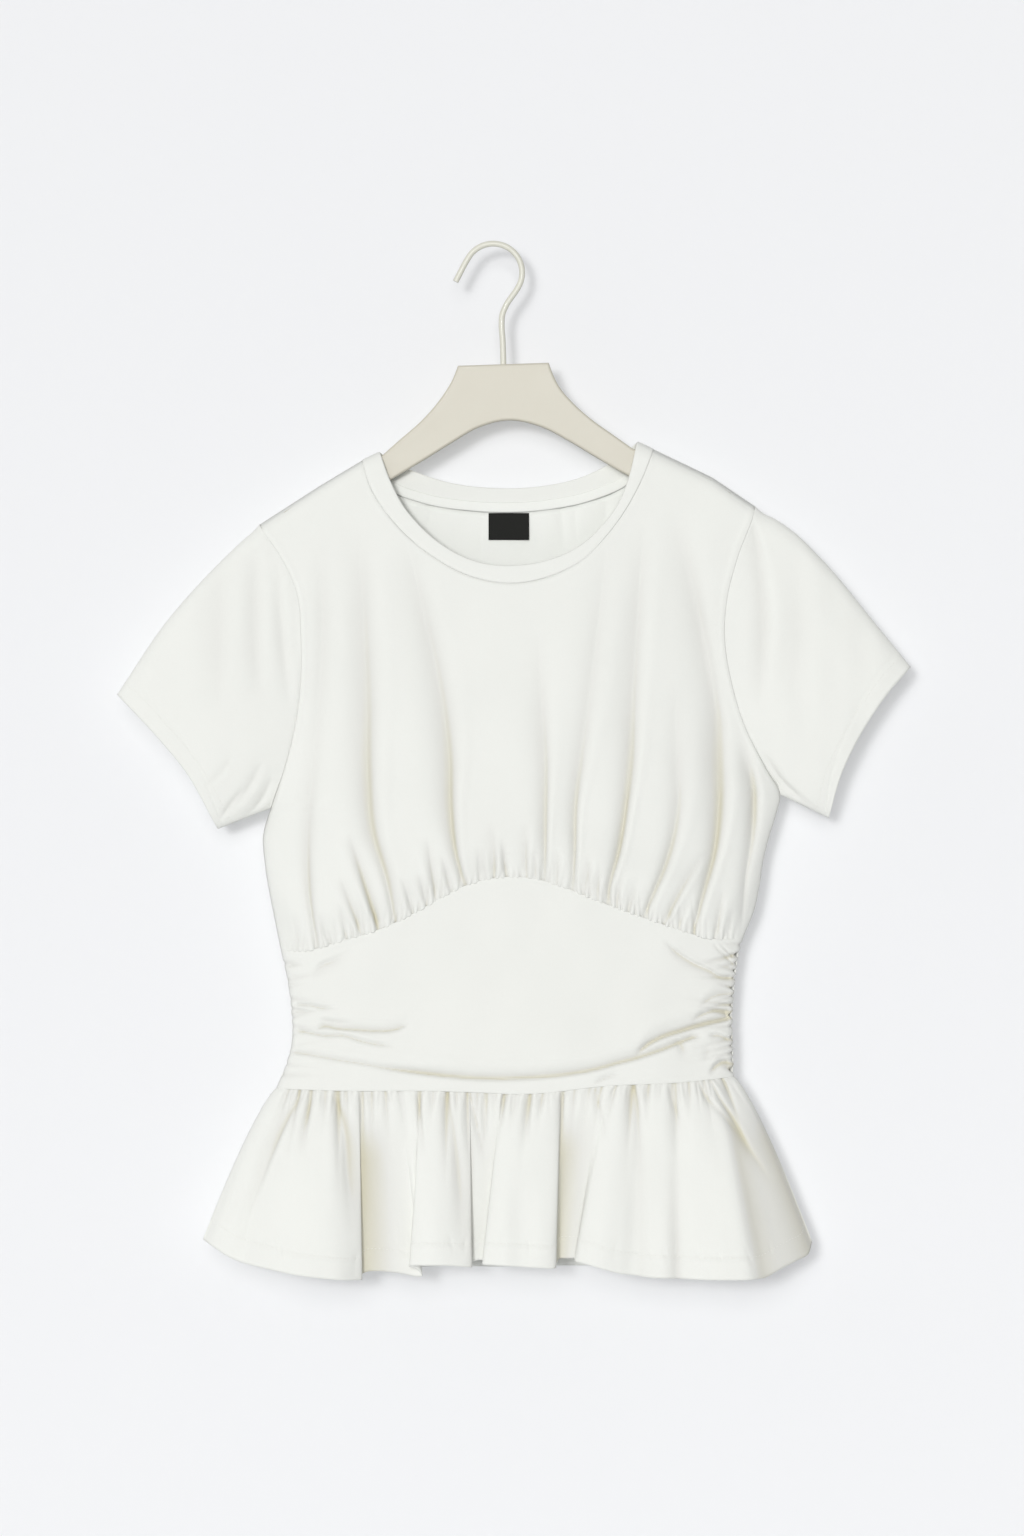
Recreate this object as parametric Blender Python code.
"""Jersey peplum top with short sleeves, hung on a flat hanger with a wire hook.

The object is modelled in metres with +Z up and its front towards -Y. The origin is the underside of
the hook's crown, where the hanger rests on a rail or a peg. The tables are in millimetres, and a
height is given as a drop below the origin.
"""
import math

import bmesh
import bpy
import numpy as np
from mathutils import Vector

MM = 0.001

# Cloth and seams
WALL = 1.2
BAND_WALL = 1.6
SEAM_GAP = 0.3
BAND_PROUD, BAND_SEAM_STEP = 0.25, 0.39
FRONT, BACK = -1.0, 1.0

# Shoulder ridge, where front and back meet over the hanger
RIDGE_RADIUS = 12.0
LEFT_TIP_DROP, RIGHT_TIP_DROP = 212.0, 198.4
ARMPIT_ROW = 9
PANEL_ROWS = (0, .006, .02, .05, .12, .23, .36, .49, .60, .667, .77, .86, .93, .97, 1)
ARMHOLE_OPEN = 0.64
SECTION_SQUARENESS = 3.0

# Gathers of the bodice above the underbust seam
PUCKER_DEPTH, PUCKER_REACH, PUCKER_SPACING = 0.8, 16.0, 6.0
BLOUSE_DEPTH, BLOUSE_HEIGHT, BLOUSE_SPREAD = 5.0, 26.0, 20.0

# Small gathers along the side seams of the waist
RUCHE_DEPTH, RUCHE_REACH, RUCHE_EDGE = 0.9, 14.0, 0.5

# How fast the peplum flares and folds below its seam: 1 is a straight line, less is sooner
FLARE_POWER, FOLD_POWER = 0.8, 0.75

# Columns and rows of each panel
SHOULDER_COLUMNS, NECK_COLUMNS = 10, 44
BACK_SHOULDER_COLUMNS, BACK_NECK_COLUMNS = 8, 26
NECK_SLOPE_SHARE, CLOSER_AT_ENDS, END_REACH = 0.25, 3.0, 0.025
WAIST_COLUMNS, BACK_WAIST_COLUMNS, WAIST_ROWS = 28, 18, 19
PEPLUM_COLUMNS, BACK_PEPLUM_COLUMNS, PEPLUM_ROWS = 80, 44, 6
SLEEVE_ROWS = (0, .06, .18, .36, .54, .72, .88, 1)

# Hanger and hook
HANGER_THICKNESS = 10.0
HANGER_EDGE_RADIUS = 4.5
HANGER_CLEARANCE = 2.6
WIRE_DIAMETER = 4.5
HOOK_RADIUS = 22.0
HOOK_CENTRE = (-0.6, 20.2)
HOOK_FLARE = 19.5
HOOK_POINTS = 28
WIRE_HOLE_DIAMETER = 5.2
WIRE_DEPTH = 16.0
PLATE_TOP = (7.1, 90.1)

# Woven label at the back of the neck
LABEL_LEFT, LABEL_WIDTH, LABEL_TOP, LABEL_HEIGHT, LABEL_WALL = -4.2, 30.8, 202.6, 20.5, 0.8
TAPE_WIDTH, TAPE_WALL = 7.5, 0.8


def table(names, *rows):
    """Named columns from a short list of rows."""
    return {name: np.array(column, float) for name, column in zip(names.split(), zip(*rows))}


LEFT_SIDE = table("drop x",
                  (150, -178.6), (212, -178.6), (233, -164.2), (261, -150.5), (299, -146.5),
                  (328, -146.5), (359, -149.9), (394, -158.1), (427, -169.5), (448, -175.5),
                  (467, -174.4), (508, -167.4), (535, -161.9), (561, -156.5), (585, -153.8),
                  (604, -153.6), (622, -158.1), (640, -165.5))
RIGHT_SIDE = table("drop x",
                   (140, 199.1), (198, 199.1), (238, 184.7), (265, 177.5), (296, 175.0),
                   (331, 180.1), (369, 192.0), (398, 207.2), (417, 217.5), (432, 214.5),
                   (445, 210.5), (467, 204.8), (489, 201.4), (506, 197.5), (526, 189.5),
                   (543, 185.4), (570, 182.4), (592, 181.4), (611, 182.0), (631, 182.4))
RIDGE = table("x drop",
              (-178.6, 212.0), (-132.7, 182.5), (-99.6, 162.6), (-86.6, 156.4), (108.7, 148.6),
              (120.8, 154.3), (165.7, 175.8), (199.1, 198.4))
FRONT_NECK = table("x drop edge_x edge_drop",
                   (-99.6, 162.6, -86.6, 156.4), (-94.0, 182.0, -79.0, 177.4),
                   (-82.8, 201.0, -68.0, 198.6), (-68.5, 218.0, -52.5, 216.5),
                   (-46.5, 235.6, -32.5, 231.6), (-20.5, 249.6, -12.0, 240.2),
                   (12.0, 256.1, 12.0, 243.0), (41.5, 251.0, 35.5, 240.2),
                   (66.5, 238.6, 57.0, 232.6), (86.0, 219.0, 75.5, 219.6),
                   (99.5, 200.4, 90.5, 202.0), (112.0, 177.0, 101.0, 180.0),
                   (120.8, 154.3, 108.7, 148.6))
BACK_NECK = table("x drop edge_x edge_drop",
                  (-99.6, 162.6, -86.6, 156.4), (-84.0, 182.0, -74.0, 164.6),
                  (-54.0, 194.6, -47.0, 175.6), (-19.0, 200.3, -19.0, 181.8),
                  (11.0, 201.6, 11.0, 183.6), (42.0, 199.4, 40.0, 181.4),
                  (76.0, 192.0, 69.0, 174.2), (104.0, 178.6, 95.0, 160.6),
                  (120.8, 154.3, 108.7, 148.6))
UNDERBUST = table("x drop",
                  (-161.9, 535.0), (-140.6, 535.0), (-118.6, 528.6), (-84.4, 518.0),
                  (-58.1, 505.4), (-41.0, 495.5), (-19.3, 484.9), (0.8, 480.0), (19.8, 479.2),
                  (35.7, 481.5), (50.9, 486.2), (82.1, 498.6), (113.2, 510.0), (136.4, 518.0),
                  (165.7, 526.2), (189.5, 526.0))
BACK_UNDERBUST = table("x drop", (-161.9, 535.0), (-90.0, 528.0), (14.0, 520.0), (110.0, 522.0),
                       (189.5, 526.0))
WAIST_SEAM = table("x drop", (-165.5, 640.0), (-100.3, 641.3), (-58.1, 641.0), (-6.8, 642.4),
                   (16.0, 643.4), (35.0, 642.8), (82.1, 637.6), (144.4, 634.6), (182.4, 631.0))
BACK_WAIST_SEAM = table("x drop", (-165.5, 640.0), (-60.0, 640.5), (14.0, 640.0), (90.0, 637.0),
                        (182.4, 631.0))
DEPTH = table("drop front back",
              (140, 10.5, 10.5), (212, 12.0, 11.0), (256, 17.0, 12.0), (345, 24.0, 13.5),
              (420, 28.0, 14.5), (470, 28.5, 15.0), (508, 26.0, 14.5), (535, 24.0, 14.0),
              (575, 22.0, 13.5), (610, 23.0, 14.0), (645, 22.0, 14.0))

# A fold of the bodice rises from the seam at seam_x, drifts sideways by lean and ends at its length
BODICE_FOLDS = table("seam_x lean length width depth",
                     (-133, -10, 70, 5.0, 3.0), (-117, -6, 28, 4.0, 1.6), (-100, -14, 36, 4.5, 2.6),
                     (-87, -20, 66, 5.0, 3.4), (-74, -30, 110, 6.0, 3.0), (-51, -8, 22, 4.0, 1.4),
                     (-43, -14, 60, 5.0, 2.2), (-32, -8, 30, 4.0, 1.6), (-21.5, -14, 150, 6.0, 3.6),
                     (-8.5, -4, 26, 4.0, 1.4), (9, -6, 44, 4.5, 2.2), (24, 0, 60, 4.5, 1.8),
                     (38, 4, 120, 5.0, 3.0), (59, 6, 150, 5.5, 3.4), (71, 4, 26, 4.0, 1.4),
                     (86, 16, 170, 6.0, 3.6), (112, 34, 110, 5.5, 3.4), (129, 30, 64, 5.0, 2.4),
                     (150, 18, 84, 6.0, 3.2), (170, 8, 34, 4.5, 1.8), (187, -4, 60, 5.0, 2.6))
# A soft drape fold hangs down the chest from (top_x, top_drop) to (foot_x, foot_drop)
CHEST_FOLDS = table("top_x top_drop foot_x foot_drop width depth",
                    (-136, 215, -136, 330, 12, 2.0), (-99, 262, -91, 440, 12, 2.6),
                    (-76, 226, -28, 455, 11, 3.0), (42, 280, 41, 440, 10, 2.0),
                    (80, 262, 64, 420, 11, 2.4), (112, 225, 95, 440, 12, 2.8),
                    (130, 165, 172, 450, 12, 3.6))
BACK_CHEST_FOLDS = table("top_x top_drop foot_x foot_drop width depth",
                         (-110, 210, -104, 500, 13, 1.8), (-40, 240, -32, 505, 14, 1.6),
                         (38, 240, 44, 505, 13, 1.8), (112, 205, 120, 500, 13, 1.8))
BACK_BODICE_FOLDS = table("seam_x lean length width depth",
                          (-128, -6, 60, 6.0, 2.0), (-92, -4, 46, 6.0, 1.6), (-50, -3, 70, 6.0, 2.0),
                          (-12, 0, 40, 5.5, 1.4), (30, 2, 74, 6.0, 2.0), (72, 4, 44, 5.5, 1.6),
                          (112, 5, 66, 6.0, 2.0), (156, 6, 50, 6.0, 1.8))
# A crease of the waist panel runs from its start on a side seam to its end, bowing down by sag
WAIST_CREASES = table("start_x start_drop end_x end_drop sag width depth",
                      (-160, 612, 182, 590, 27, 6.0, 4.4), (-156, 596, -62, 594, 2, 4.0, 2.0),
                      (-156, 577, -118, 580, 1, 3.5, 1.6), (-158, 560, -112, 552, 0, 3.5, 1.2),
                      (-156, 604, -84, 606, 1, 3.5, 1.5), (183, 554, 126, 524, 5, 4.0, 1.8),
                      (182, 568, 154, 576, 0, 3.5, 1.6), (182, 580, 148, 589, 1, 3.5, 1.6),
                      (183, 597, 105, 616, 2, 4.0, 2.2), (184, 616, 160, 622, 0, 3.5, 1.8))
BACK_WAIST_CREASES = table("start_x start_drop end_x end_drop sag width depth",
                           (-160, 610, 182, 604, 14, 6.0, 2.8), (-156, 560, -96, 566, 2, 4.0, 1.6),
                           (-156, 582, -84, 586, 2, 4.0, 1.6), (184, 556, 118, 562, 2, 4.0, 1.6),
                           (182, 578, 104, 584, 2, 4.0, 1.8), (182, 596, 132, 602, 1, 4.0, 1.4))
# The hem line of the front peplum from left to right, with the place on the seam that feeds it
PEPLUM_FOLDS = table("seam_x hem_x hem_depth hem_drop",
                     (-165.5, -221.2, -1, 755.0), (-160, -217.0, 10, 766.5),
                     (-154, -203.0, 19, 772.5), (-147, -189.0, 15, 776.0),
                     (-142, -178.0, 27, 778.5), (-132, -146.0, 40, 783.4),
                     (-119, -113.0, 35, 783.6), (-101, -101.5, 38, 783.2),
                     (-98, -104.0, 26, 780.0), (-94, -98.0, 15, 778.0),
                     (-84, -80.0, 17, 777.6), (-64, -57.0, 15, 779.2),
                     (-59, -54.5, 23, 778.0), (-55, -63.5, 33, 773.4),
                     (-42, -45.0, 38, 772.4), (-33, -32.7, 36, 772.4),
                     (-23, -15.5, 37, 774.0), (-20, -18.0, 24, 772.0),
                     (-13, -13.0, 12, 769.6), (2, -3.5, 15, 769.8),
                     (8, -9.5, 30, 771.4), (20, 5.0, 38, 772.2),
                     (33, 20.0, 37, 773.0), (52, 42.0, 34, 774.2),
                     (60, 49.5, 17, 769.4), (70, 58.0, 15, 768.0),
                     (79, 61.5, 29, 768.4), (90, 79.0, 40, 773.6),
                     (101, 106.0, 37, 779.8), (114, 122.0, 43, 781.4),
                     (132, 137.0, 39, 782.0), (150, 165.0, 45, 782.8),
                     (163, 190.0, 42, 782.2), (168, 200.0, 34, 780.0),
                     (173, 216.0, 28, 774.4), (178, 235.0, 14, 764.4),
                     (182.4, 241.7, -1, 756.0))
BACK_PEPLUM_FOLDS = table("seam_x hem_x hem_depth hem_drop",
                          (-165.5, -221.2, 1, 755.0), (-158, -216.0, 14, 764.0),
                          (-140, -190.0, 26, 771.0), (-122, -158.0, 15, 773.0),
                          (-100, -126.0, 30, 776.0), (-78, -92.0, 15, 775.0),
                          (-52, -62.0, 31, 778.0), (-28, -30.0, 16, 776.0),
                          (0, -2.0, 32, 778.0), (24, 30.0, 16, 776.0),
                          (50, 62.0, 31, 777.0), (76, 92.0, 16, 775.0),
                          (100, 124.0, 31, 776.0), (122, 156.0, 15, 773.0),
                          (146, 190.0, 28, 771.0), (168, 222.0, 15, 765.0),
                          (182.4, 241.7, 1, 756.0))
LEFT_SLEEVE_TOP = table("x drop", (-178.6, 212.0), (-216.1, 248.2), (-247.4, 283.5), (-286.5, 340.9))
RIGHT_SLEEVE_TOP = table("x drop", (199.1, 198.4), (228.0, 217.5), (249.0, 238.0), (290.6, 287.8),
                         (316.7, 320.0))
LEFT_SLEEVE_HEM = table("x drop", (-286.5, 340.9), (-257.8, 370.9), (-233.0, 401.0),
                        (-209.8, 443.1))
RIGHT_SLEEVE_HEM = table("x drop", (316.7, 320.0), (299.0, 340.0), (278.2, 371.2), (264.0, 400.0),
                         (254.2, 434.7))
SLEEVE_HEM_FRONT, SLEEVE_HEM_BACK, SLEEVE_FULLNESS = 13.0, 10.0, 3.0
SLEEVE_SEAM_STEP, SLEEVE_SLOPE = 0.42, (0.92, -0.39)
HANGER_NECK = table("x drop", (-86.8, 161.0), (-71.8, 147.6), (-56.8, 134.6), (-44.6, 121.4),
                    (-36.6, 110.4), (-31.2, 101.0), (-27.4, 91.2), (41.6, 88.9), (45.0, 98.2),
                    (49.6, 107.2), (58.6, 118.0), (72.4, 130.6), (90.4, 143.6), (106.0, 154.6))
HANGER_UNDERSIDE = table("x drop", (166.0, 200.0), (134.0, 190.0), (100.2, 173.8), (78.4, 161.2),
                         (56.0, 147.8), (36.0, 137.6), (10.9, 132.6), (-14.0, 139.0),
                         (-30.0, 148.4), (-50.0, 160.8), (-77.8, 177.5), (-112.0, 197.6),
                         (-146.0, 213.0))
ARM_REACH_LEFT, ARM_REACH_RIGHT = -160.0, 180.0

MATERIALS = {"jersey": ((0.90, 0.89, 0.85), 0.85, 0.0), "label": ((0.02, 0.02, 0.02), 0.7, 0.0),
             "hanger": ((0.73, 0.69, 0.61), 0.55, 0.0), "wire": ((0.72, 0.70, 0.62), 0.45, 0.0)}


# Curves through the tables
def tangents(at, values):
    """Slopes that keep a cubic through the rows from overshooting where they turn."""
    step = np.diff(at)
    slope = np.diff(values) / step
    inner = (slope[:-1] * step[1:] + slope[1:] * step[:-1]) / (step[:-1] + step[1:])
    return np.concatenate([[slope[0]], inner, [slope[-1]]])


def smooth(where, at, values):
    """A smooth curve through (at, values), read at where. The rows run in rising order of at."""
    where = np.clip(where, at[0], at[-1])
    row = np.clip(np.searchsorted(at, where, side="right") - 1, 0, len(at) - 2)
    slopes = tangents(at, values)
    step = at[row + 1] - at[row]
    part = (where - at[row]) / step
    rise = part * part * (3 - 2 * part)
    curve = (part - 2 * part ** 2 + part ** 3) * slopes[row] + (part ** 3 - part ** 2) * slopes[row + 1]
    return values[row] * (1 - rise) + values[row + 1] * rise + curve * step


def chord_lengths(*coordinates):
    """Distance along a line of points, from 0 to 1."""
    steps = np.sqrt(sum(np.diff(c) ** 2 for c in coordinates))
    lengths = np.concatenate([[0.0], np.cumsum(steps)])
    return lengths / lengths[-1]


def ease(part):
    """0 to 1 with soft ends."""
    part = np.clip(part, 0.0, 1.0)
    return part * part * (3 - 2 * part)


# The flat outline and the section of the hanging top
def x_across(share, drop):
    left = smooth(drop, LEFT_SIDE["drop"], LEFT_SIDE["x"])
    right = smooth(drop, RIGHT_SIDE["drop"], RIGHT_SIDE["x"])
    return left + share * (right - left)


def share_at(x, drop):
    left, right = x_across(0.0, drop), x_across(1.0, drop)
    return np.clip((x - left) / (right - left), 0.0, 1.0)


def ridge_drop(x):
    return np.interp(x, RIDGE["x"], RIDGE["drop"])


def section_depth(share, x, drop, side):
    """How far the hanging cloth stands in front of, or behind, the plane of the hanger."""
    depth = smooth(drop, DEPTH["drop"], DEPTH["front" if side == FRONT else "back"])
    tip = np.where(share < 0.5, LEFT_TIP_DROP, RIGHT_TIP_DROP)
    pit = np.where(share < 0.5, armpit_drop("left"), armpit_drop("right"))
    along = np.clip((drop - tip) / (pit - tip), 0.0, 1.0)
    edge = depth * ARMHOLE_OPEN * np.sqrt(1 - along ** 2.5)
    roundness = 0.5 + 0.5 * ease((pit - drop) / 50.0)
    body = (1 - np.abs(2 * share - 1) ** SECTION_SQUARENESS) ** roundness
    below = np.clip((drop - ridge_drop(x)) / RIDGE_RADIUS, 0.0, 1.0)
    over_hanger = np.sqrt(1 - (1 - below) ** 2)
    return over_hanger * (edge + (depth - edge) * body)


def armpit_drop(side):
    """The armpit lies on a row of the panels, so that the sleeve can share its points."""
    row = PANEL_ROWS[ARMPIT_ROW]
    if side == "left":
        return LEFT_TIP_DROP + row * (UNDERBUST["drop"][0] - LEFT_TIP_DROP)
    return RIGHT_TIP_DROP + row * (UNDERBUST["drop"][-1] - RIGHT_TIP_DROP)


def seam_drop(seam, share):
    """The drop of a seam that crosses the body, read by the share of the width."""
    return smooth(share, share_at(seam["x"], seam["drop"]), seam["drop"])


# Folds
def gather_folds(folds, x, height):
    """Inward depth of folds that rise from a gathered seam."""
    total = np.zeros_like(x)
    for seam_x, lean, length, width, depth in zip(*folds.values()):
        up = np.clip(height / length, 0.0, 1.0)
        centre = seam_x + lean * up ** 1.3
        spread = width * (0.7 + 0.7 * up)
        fade = (1 - up ** 2) * (0.55 + 0.45 * ease(height / 10.0))
        total += depth * fade * np.exp(-((x - centre) / spread) ** 2)
    return total


def hanging_folds(folds, x, drop):
    """Inward depth of soft folds that hang from the neck and the shoulders."""
    total = np.zeros_like(x)
    for top_x, top_drop, foot_x, foot_drop, width, depth in zip(*folds.values()):
        down = np.clip((drop - top_drop) / (foot_drop - top_drop), 0.0, 1.0)
        centre = top_x + (foot_x - top_x) * down
        fade = np.sin(math.pi * down) ** 0.7
        total += depth * fade * np.exp(-((x - centre) / width) ** 2)
    return total


def cross_creases(creases, x, drop):
    """Inward depth of creases that run across from a side seam."""
    total = np.zeros_like(x)
    for start_x, start_drop, end_x, end_drop, sag, width, depth in zip(*creases.values()):
        along = (x - start_x) / (end_x - start_x)
        inside = np.clip(along, 0.0, 1.0)
        centre = start_drop + (end_drop - start_drop) * inside + sag * np.sin(math.pi * inside)
        fade = ease(1.0 - np.clip(along - 0.6, 0.0, 1.0) / 0.4)
        off = np.clip(-along, 0.0, 1.0) + np.clip(along - 1.0, 0.0, 1.0)
        total += depth * fade * np.exp(-((drop - centre) / width) ** 2 - (off * 4) ** 2)
    return total


# Walls of cloth
def grid_normals(points, ring=False):
    """Unit normals of a grid of points, from the points beside each."""
    if ring:
        wrapped = np.concatenate([points[:, -1:], points, points[:, :1]], axis=1)
        across = (wrapped[:, 2:] - wrapped[:, :-2]) / 2
    else:
        across = np.gradient(points, axis=1)
    down = np.gradient(points, axis=0)
    normals = np.cross(across, down)
    return normals / np.linalg.norm(normals, axis=2, keepdims=True)


def squared(normals, axis, where):
    """The same normals with one component taken out along an edge, so that seam faces lie parallel."""
    normals = normals.copy()
    edge = normals[where]
    edge[..., axis] = 0.0
    normals[where] = edge / np.linalg.norm(edge, axis=-1, keepdims=True)
    return normals


def inner_skin(outer, normals, side, lateral, wall=WALL):
    """The inner points of a wall. Near a fold the wall turns, so that it stays on its own side."""
    room = np.clip((side * outer[..., 1] - SEAM_GAP / 2) / wall, 0.0, 1.0)
    toward = np.minimum(side * normals[..., 1], room)
    across = normals[..., [0, 2]] + lateral
    across /= np.linalg.norm(across, axis=-1, keepdims=True)
    across *= np.sqrt(1 - toward ** 2)[..., None]
    turned = np.stack([across[..., 0], side * toward, across[..., 1]], axis=-1)
    tight = (side * normals[..., 1] > room)[..., None]
    return outer - wall * np.where(tight, turned, normals)


def cloth_object(name, outer, inner, material, ring=False):
    """A closed wall between two grids of points in millimetres."""
    rows, columns = outer.shape[:2]
    bm = bmesh.new()
    skins = []
    for skin in (outer, inner):
        skins.append([[bm.verts.new(Vector(point) * MM) for point in line] for line in skin])
    last = columns if ring else columns - 1
    for skin in skins:
        for row in range(rows - 1):
            for column in range(last):
                beside = (column + 1) % columns
                bm.faces.new((skin[row][column], skin[row][beside],
                              skin[row + 1][beside], skin[row + 1][column]))
    for row in (0, rows - 1):
        for column in range(last):
            beside = (column + 1) % columns
            bm.faces.new((skins[0][row][column], skins[0][row][beside],
                          skins[1][row][beside], skins[1][row][column]))
    if not ring:
        for column in (0, columns - 1):
            for row in range(rows - 1):
                bm.faces.new((skins[0][row][column], skins[0][row + 1][column],
                              skins[1][row + 1][column], skins[1][row][column]))
    bmesh.ops.recalc_face_normals(bm, faces=bm.faces)
    return add_object(name, bm, material)


def add_object(name, bm, material):
    mesh = bpy.data.meshes.new(name)
    bm.to_mesh(mesh)
    bm.free()
    mesh.shade_smooth()
    mesh.set_sharp_from_angle(angle=math.radians(50))
    obj = bpy.data.objects.new(name, mesh)
    obj.data.materials.append(material)
    bpy.context.scene.collection.objects.link(obj)
    return obj


def make_material(name):
    colour, roughness, metallic = MATERIALS[name]
    material = bpy.data.materials.new(name)
    material.use_nodes = True
    shader = material.node_tree.nodes["Principled BSDF"]
    shader.inputs["Base Color"].default_value = (*colour, 1.0)
    shader.inputs["Roughness"].default_value = roughness
    shader.inputs["Metallic"].default_value = metallic
    return material


# Bodice
def neck_line(neck, columns):
    """Points of a neck seam and of the neckband's free edge, closer together near the shoulders."""
    along = chord_lengths(neck["x"], neck["drop"])
    fine = np.linspace(0.0, 1.0, 600)
    line = {name: smooth(fine, along, neck[name]) for name in neck}
    steps = np.abs(np.diff(line["x"])) + NECK_SLOPE_SHARE * np.abs(np.diff(line["drop"]))
    middle = (fine[1:] + fine[:-1]) / 2
    nearness = np.exp(-middle / END_REACH) + np.exp(-(1 - middle) / END_REACH)
    weight = np.concatenate([[0.0], np.cumsum(steps * (1 + CLOSER_AT_ENDS * nearness))])
    at = np.interp(np.linspace(0.0, weight[-1], columns + 1), weight, fine)
    return {name: smooth(at, along, neck[name]) for name in neck}


def top_line(neck, shoulder_columns, neck_columns):
    """The top edge of a bodice panel: shoulder, neck, shoulder."""
    line = neck_line(neck, neck_columns)
    left = np.linspace(RIDGE["x"][0], neck["x"][0], shoulder_columns + 1)[:-1]
    right = np.linspace(neck["x"][-1], RIDGE["x"][-1], shoulder_columns + 1)[1:]
    x = np.concatenate([left, line["x"], right])
    drop = np.concatenate([ridge_drop(left), line["drop"], ridge_drop(right)])
    return x, drop


def bodice_panel(side, neck, seam, counts, folds, drape):
    """Outer and inner points of the front or back bodice."""
    top_x, top_drop = top_line(neck, *counts)
    share = share_at(top_x, top_drop)
    share[0], share[-1] = 0.0, 1.0
    foot = seam_drop(seam, share) - SEAM_GAP / 2
    rows = np.array(PANEL_ROWS)[:, None]
    drop = top_drop + rows * (foot - top_drop)
    x = x_across(share, drop)
    height = foot - drop
    number = np.arange(len(share))
    pucker = PUCKER_DEPTH * np.cos(math.pi * number) * np.exp(-(height / PUCKER_REACH) ** 2)
    blouse = BLOUSE_DEPTH if side == FRONT else BLOUSE_DEPTH * 0.4
    puff = blouse * np.exp(-((height - BLOUSE_HEIGHT) / BLOUSE_SPREAD) ** 2)
    sides = ease(np.minimum(share, 1 - share) / 0.06)
    depth = section_depth(share, x, drop, side)
    relief = pucker + puff - gather_folds(folds, x, height) - hanging_folds(drape, x, drop)
    depth = depth + sides * relief
    outer = np.stack([x, side * (depth + SEAM_GAP / 2), -drop], axis=2)
    normals = side * grid_normals(outer)
    shoulders = np.r_[0:counts[0] + 1, counts[0] + counts[1]:len(share)]
    normals = squared(normals, 1, (0, shoulders))
    normals = squared(normals, 2, (-1, slice(None)))
    below_pit = slice(ARMPIT_ROW, None)
    normals = squared(normals, 1, (below_pit, 0))
    normals = squared(normals, 1, (below_pit, -1))
    normals[ARMPIT_ROW, 0] = (-math.sqrt(0.5), 0.0, -math.sqrt(0.5))
    normals[ARMPIT_ROW, -1] = (math.sqrt(0.5), 0.0, -math.sqrt(0.5))
    outward = np.zeros(outer.shape[:2] + (2,))
    outward[:, 0, 0], outward[:, -1, 0] = -1.0, 1.0
    outward[0, :, 1] = 1.0
    return outer, inner_skin(outer, normals, side, outward * 0.2)


# Waist panels
def waist_panel(side, top_seam, foot_seam, creases, columns):
    even = np.linspace(-1.0, 1.0, columns + 1)
    share = 0.5 + 0.5 * np.sin(even * math.pi / 2 * 0.8) / math.sin(math.pi / 2 * 0.8)
    top = seam_drop(top_seam, share) + SEAM_GAP / 2
    foot = seam_drop(foot_seam, share) - SEAM_GAP / 2
    rows = np.linspace(0.0, 1.0, WAIST_ROWS)[:, None]
    drop = top + rows * (foot - top)
    x = x_across(share, drop)
    depth = section_depth(share, x, drop, side)
    inside = ease(np.minimum(rows, 1 - rows) / 0.12)
    from_side = np.minimum(share, 1 - share) * (x[:, -1:] - x[:, :1])
    depth = depth - inside * ease(from_side / 10.0) * cross_creases(creases, x, drop)
    gather = inside * np.cos(math.pi * np.arange(WAIST_ROWS))[:, None]
    depth = depth + RUCHE_DEPTH * gather * ease(from_side / 5.0) * np.exp(-(from_side / RUCHE_REACH) ** 2)
    x = x + RUCHE_EDGE * gather * np.sign(share - 0.5) * np.exp(-(from_side / RUCHE_REACH) ** 2)
    outer = np.stack([x, side * (depth + SEAM_GAP / 2), -drop], axis=2)
    normals = side * grid_normals(outer)
    normals = squared(normals, 2, (0, slice(None)))
    normals = squared(normals, 2, (-1, slice(None)))
    normals = squared(normals, 1, (slice(None), 0))
    normals = squared(normals, 1, (slice(None), -1))
    return outer, outer - WALL * normals


# Peplum
def peplum_panel(side, seam, folds, columns):
    """A gathered frill: its top follows the waist seam, its hem follows the table of folds."""
    along = chord_lengths(folds["hem_x"], folds["hem_depth"])
    at = np.linspace(0.0, 1.0, columns + 1)
    seam_x = np.interp(at, along, folds["seam_x"])
    hem = {name: smooth(at, along, folds[name]) for name in ("hem_x", "hem_depth", "hem_drop")}
    share = np.clip((seam_x - seam_x[0]) / (seam_x[-1] - seam_x[0]), 0.0, 1.0)
    top = seam_drop(seam, share) + SEAM_GAP / 2
    top_x = x_across(share, top)
    top_depth = section_depth(share, top_x, top, side)
    rows = np.linspace(0.0, 1.0, PEPLUM_ROWS)[:, None] ** 1.15
    drop = top + rows * (hem["hem_drop"] - top)
    x = top_x + (hem["hem_x"] - top_x) * rows ** FLARE_POWER
    number = np.arange(columns + 1)
    spacing = np.gradient(top_x[None, :], axis=1)
    gather = PUCKER_DEPTH * np.clip(spacing / PUCKER_SPACING, 0.0, 1.0) * np.cos(math.pi * number)
    sides = ease(np.minimum(share, 1 - share) / 0.05)
    pucker = sides * gather * np.exp(-((drop - top) / PUCKER_REACH) ** 2)
    depth = top_depth + (hem["hem_depth"] - top_depth) * rows ** FOLD_POWER + pucker
    depth[:, [0, -1]] = 0.0
    outer = np.stack([x, side * (depth + SEAM_GAP / 2), -drop], axis=2)
    normals = side * grid_normals(outer)
    normals = squared(normals, 2, (0, slice(None)))
    normals = squared(normals, 1, (slice(None), 0))
    normals = squared(normals, 1, (slice(None), -1))
    return outer, outer - WALL * normals


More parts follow.
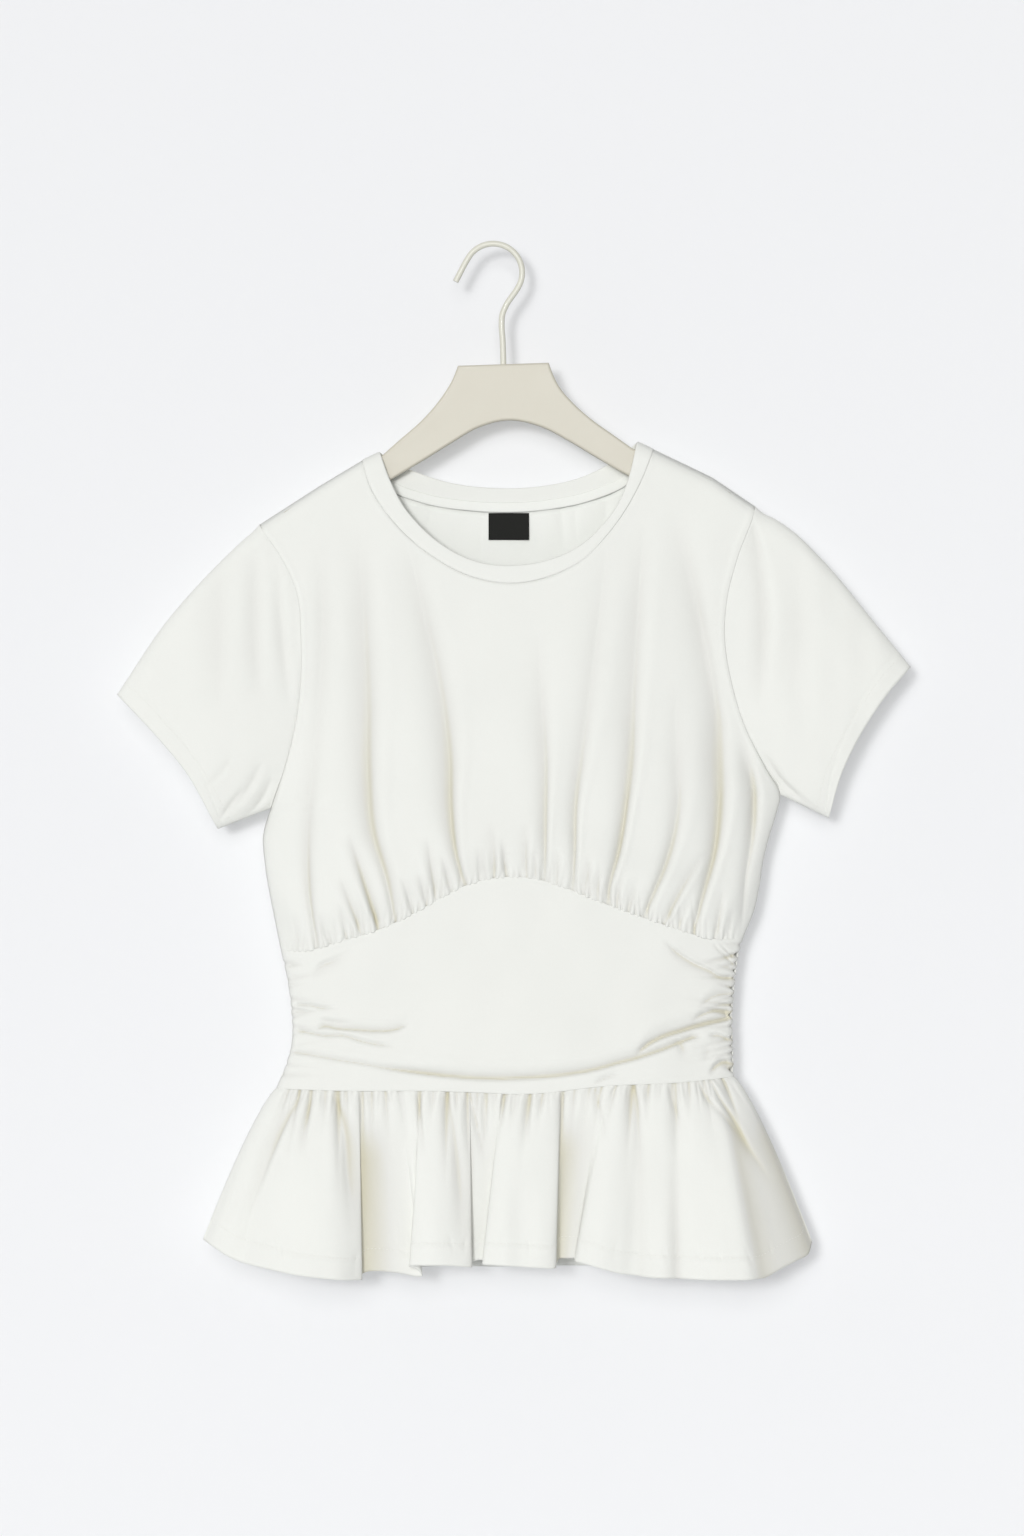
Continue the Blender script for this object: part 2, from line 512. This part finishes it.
# Sleeves
def armhole_ring(front, back, column):
    """The edge points round the armhole: tip, down the front, armpit, up the back."""
    rings = []
    for skin in (0, 1):
        before, behind = (panel[skin][:ARMPIT_ROW + 1, column] for panel in (front, back))
        tip, pit = (before[0] + behind[0]) / 2, (before[-1] + behind[-1]) / 2
        rings.append(np.concatenate([[tip], before[1:-1], [pit], behind[-2:0:-1]]))
    return rings


def sleeve_panel(front, back, column, top, hem, outward):
    """A short sleeve that hangs flat: its ring of points at the armhole runs out to the hem."""
    ring_outer, ring_inner = armhole_ring(front, back, column)
    seam_shift = SLEEVE_SEAM_STEP * np.array([outward * SLEEVE_SLOPE[0], 0.0, SLEEVE_SLOPE[1]])
    half = chord_lengths(*ring_outer[:ARMPIT_ROW + 1].T)
    hem_along = chord_lengths(hem["x"], hem["drop"])
    hem_x, hem_drop = (smooth(half, hem_along, hem[name]) for name in ("x", "drop"))
    bulge = np.sqrt(1 - np.abs(2 * half - 1) ** 2.4)
    front_half = np.stack([hem_x, -SLEEVE_HEM_FRONT * bulge, -hem_drop], axis=1)
    back_half = np.stack([hem_x, SLEEVE_HEM_BACK * bulge, -hem_drop], axis=1)
    hem_ring = np.concatenate([front_half, back_half[-2:0:-1]])
    around = np.concatenate([half, half[-2:0:-1]])
    fullness = np.concatenate([-bulge, bulge[-2:0:-1]])
    rows = np.array(SLEEVE_ROWS)
    top_along = chord_lengths(top["x"], top["drop"])
    top_edge = np.stack([smooth(rows, top_along, top["x"]), 0 * rows,
                         -smooth(rows, top_along, top["drop"])], axis=1)
    start = ring_outer + seam_shift
    lines = []
    for row, edge in zip(rows, top_edge):
        line = start * (1 - row) + hem_ring * row
        lift = edge - (start[0] * (1 - row) + hem_ring[0] * row)
        line = line + lift * ((1 - around) ** 1.6 * ease(row / 0.1))[:, None]
        line[:, 1] += SLEEVE_FULLNESS * fullness * math.sin(math.pi * row)
        lines.append(line)
    outer = np.array(lines)
    inner = outer - outward * WALL * grid_normals(outer, ring=True)
    inner[0] = ring_inner + seam_shift
    return outer, inner


# Neckband, neck tape and label
def neckband(front, back):
    """A folded band round the neck, its seam edge beside the bodice's own edge points."""
    first = SHOULDER_COLUMNS
    front_columns = slice(first, first + NECK_COLUMNS + 1)
    back_first = BACK_SHOULDER_COLUMNS
    back_columns = slice(back_first + BACK_NECK_COLUMNS - 1, back_first, -1)
    seam_outer = np.concatenate([front[0][0, front_columns], back[0][0, back_columns]])
    seam_inner = np.concatenate([front[1][0, front_columns], back[1][0, back_columns]])
    front_line = neck_line(FRONT_NECK, NECK_COLUMNS)
    back_line = neck_line(BACK_NECK, BACK_NECK_COLUMNS)
    edge_x = np.concatenate([front_line["edge_x"], back_line["edge_x"][-2:0:-1]])
    edge_drop = np.concatenate([front_line["edge_drop"], back_line["edge_drop"][-2:0:-1]])
    sign = np.concatenate([np.full(NECK_COLUMNS + 1, FRONT), np.full(BACK_NECK_COLUMNS - 1, BACK)])
    sign[[0, NECK_COLUMNS]] = 0.0
    seam_outer[[0, NECK_COLUMNS], 1] = 0.0
    seam_inner[[0, NECK_COLUMNS], 1] = 0.0
    edge_depth = np.where(sign < 0, section_depth(share_at(edge_x, edge_drop), edge_x, edge_drop, FRONT),
                          section_depth(share_at(edge_x, edge_drop), edge_x, edge_drop, BACK))
    edge_outer = np.stack([edge_x, sign * (edge_depth + BAND_PROUD), -edge_drop], axis=1)
    reach = edge_outer - seam_outer
    reach /= np.linalg.norm(reach, axis=1, keepdims=True)
    start = seam_outer + BAND_SEAM_STEP * reach
    middle = (start + edge_outer) / 2 + np.stack([0 * sign, sign * BAND_PROUD, 0 * sign], axis=1)
    outer = np.stack([start, middle, edge_outer])
    inner = outer - BAND_WALL * grid_normals(outer, ring=True)
    inner[0] = seam_inner + BAND_SEAM_STEP * reach
    return outer, inner


def woven_label():
    """A bare woven label on the inside of the back, just under the neckband."""
    x = np.linspace(LABEL_LEFT, LABEL_LEFT + LABEL_WIDTH, 5)[None, :]
    drop = LABEL_TOP + np.linspace(0.0, LABEL_HEIGHT, 4)[:, None]
    x, drop = np.broadcast_arrays(x, drop)
    depth = section_depth(share_at(x, drop), x, drop, BACK) - WALL
    depth = depth - hanging_folds(BACK_CHEST_FOLDS, x, drop) - SEAM_GAP * 3
    outer = np.stack([x, depth, -drop], axis=2)
    inner = outer - np.array([0.0, LABEL_WALL, 0.0])
    return outer, inner


def neck_tape():
    """The tape that covers the back neck seam on the inside."""
    line = neck_line(BACK_NECK, BACK_NECK_COLUMNS)
    columns = slice(3, -3)
    toward = np.stack([line["edge_x"] - line["x"], line["edge_drop"] - line["drop"]])
    toward /= np.linalg.norm(toward, axis=0)
    places = np.array([-0.5, TAPE_WIDTH - 0.5])[:, None]
    x = (line["x"] + places * toward[0])[:, columns]
    drop = (line["drop"] + places * toward[1])[:, columns]
    depth = section_depth(share_at(x, drop), x, drop, BACK) - BAND_WALL - SEAM_GAP
    outer = np.stack([x, depth, -drop], axis=2)
    inner = outer - np.array([0.0, TAPE_WALL, 0.0])
    return outer, inner


# Hanger
def hanger_outline():
    """The outline of the hanger seen from the front. Inside the shoulders its top follows the cloth."""
    left = np.linspace(ARM_REACH_LEFT, -100.0, 5)
    right = np.linspace(121.0, ARM_REACH_RIGHT, 5)
    x = np.concatenate([left, HANGER_NECK["x"], right, HANGER_UNDERSIDE["x"]])
    drop = np.concatenate([ridge_drop(left) + HANGER_CLEARANCE, HANGER_NECK["drop"],
                           ridge_drop(right) + HANGER_CLEARANCE, HANGER_UNDERSIDE["drop"]])
    return x, drop


def make_hanger(material):
    x, drop = hanger_outline()
    bm = bmesh.new()
    rim = [bm.verts.new((a * MM, -HANGER_THICKNESS / 2 * MM, -b * MM)) for a, b in zip(x, drop)]
    face = bm.faces.new(rim)
    made = bmesh.ops.extrude_face_region(bm, geom=[face])
    moved = [item for item in made["geom"] if isinstance(item, bmesh.types.BMVert)]
    bmesh.ops.translate(bm, verts=moved, vec=(0.0, HANGER_THICKNESS * MM, 0.0))
    bmesh.ops.recalc_face_normals(bm, faces=bm.faces)
    bm.normal_update()
    long_edges = [edge for edge in bm.edges
                  if abs(edge.verts[0].co.y - edge.verts[1].co.y) < 0.1 * MM]
    bmesh.ops.bevel(bm, geom=long_edges, offset=HANGER_EDGE_RADIUS * MM, offset_type="OFFSET",
                    segments=2, profile=0.5, affect="EDGES", material=-1, clamp_overlap=True)
    hanger = add_object("hanger_body", bm, material)
    drill_hole(hanger)
    return hanger


def drill_hole(hanger):
    """The hole in the top edge that the wire is set into."""
    bm = bmesh.new()
    bmesh.ops.create_cone(bm, cap_ends=True, segments=12, radius1=WIRE_HOLE_DIAMETER / 2 * MM,
                          radius2=WIRE_HOLE_DIAMETER / 2 * MM, depth=2 * (WIRE_DEPTH + 2) * MM)
    bmesh.ops.translate(bm, verts=bm.verts, vec=(PLATE_TOP[0] * MM, 0.0, -PLATE_TOP[1] * MM))
    drill = add_object("drill", bm, hanger.data.materials[0])
    drill.hide_render = True
    drill.display_type = "WIRE"
    cut = hanger.modifiers.new("wire_hole", "BOOLEAN")
    cut.operation = "DIFFERENCE"
    cut.object = drill


def hook_route():
    """The wire's centre line: out of the hanger, up the neck, round the crown, out along the flare."""
    first, last = math.radians(-33), math.radians(152)
    turn = np.linspace(first, last, 19)
    arc_x = HOOK_CENTRE[0] + HOOK_RADIUS * np.cos(turn)
    arc_drop = HOOK_CENTRE[1] - HOOK_RADIUS * np.sin(turn)
    tail = table("x drop", (PLATE_TOP[0], PLATE_TOP[1] + WIRE_DEPTH), (PLATE_TOP[0], 88.0),
                 (PLATE_TOP[0] - 0.6, 70.0), (5.8, 60.0), (6.4, 52.0), (9.2, 45.2))
    tip_x = arc_x[-1] - HOOK_FLARE * math.sin(last)
    tip_drop = arc_drop[-1] - HOOK_FLARE * math.cos(last)
    x = np.concatenate([tail["x"], arc_x, [tip_x]])
    drop = np.concatenate([tail["drop"], arc_drop, [tip_drop]])
    along = chord_lengths(x, drop)
    at = np.linspace(0.0, 1.0, HOOK_POINTS)
    return smooth(at, along, x), smooth(at, along, drop)


def make_hook(material):
    x, drop = hook_route()
    curve = bpy.data.curves.new("hook_wire", "CURVE")
    curve.dimensions = "3D"
    curve.bevel_depth = WIRE_DIAMETER / 2 * MM
    curve.bevel_resolution = 2
    curve.use_fill_caps = True
    spline = curve.splines.new("POLY")
    spline.points.add(len(x) - 1)
    for point, a, b in zip(spline.points, x, drop):
        point.co = (a * MM, 0.0, -b * MM, 1.0)
    hook = bpy.data.objects.new("hook_wire", curve)
    curve.materials.append(material)
    bpy.context.scene.collection.objects.link(hook)
    return hook


def main():
    for obj in list(bpy.data.objects):
        bpy.data.objects.remove(obj)
    materials = {name: make_material(name) for name in MATERIALS}
    jersey = materials["jersey"]
    front = bodice_panel(FRONT, FRONT_NECK, UNDERBUST, (SHOULDER_COLUMNS, NECK_COLUMNS),
                         BODICE_FOLDS, CHEST_FOLDS)
    back = bodice_panel(BACK, BACK_NECK, BACK_UNDERBUST,
                        (BACK_SHOULDER_COLUMNS, BACK_NECK_COLUMNS), BACK_BODICE_FOLDS,
                        BACK_CHEST_FOLDS)
    cloth_object("bodice_front", *front, jersey)
    cloth_object("bodice_back", *back, jersey)
    cloth_object("waist_front", *waist_panel(FRONT, UNDERBUST, WAIST_SEAM, WAIST_CREASES,
                                             WAIST_COLUMNS), jersey)
    cloth_object("waist_back", *waist_panel(BACK, BACK_UNDERBUST, BACK_WAIST_SEAM,
                                            BACK_WAIST_CREASES, BACK_WAIST_COLUMNS), jersey)
    cloth_object("peplum_front", *peplum_panel(FRONT, WAIST_SEAM, PEPLUM_FOLDS, PEPLUM_COLUMNS),
                 jersey)
    cloth_object("peplum_back", *peplum_panel(BACK, BACK_WAIST_SEAM, BACK_PEPLUM_FOLDS,
                                              BACK_PEPLUM_COLUMNS), jersey)
    cloth_object("sleeve_left", *sleeve_panel(front, back, 0, LEFT_SLEEVE_TOP, LEFT_SLEEVE_HEM,
                                              -1.0), jersey, ring=True)
    cloth_object("sleeve_right", *sleeve_panel(front, back, -1, RIGHT_SLEEVE_TOP,
                                               RIGHT_SLEEVE_HEM, 1.0), jersey, ring=True)
    cloth_object("neckband", *neckband(front, back), jersey, ring=True)
    cloth_object("neck_tape", *neck_tape(), jersey)
    cloth_object("woven_label", *woven_label(), materials["label"])
    make_hanger(materials["hanger"])
    make_hook(materials["wire"])


main()
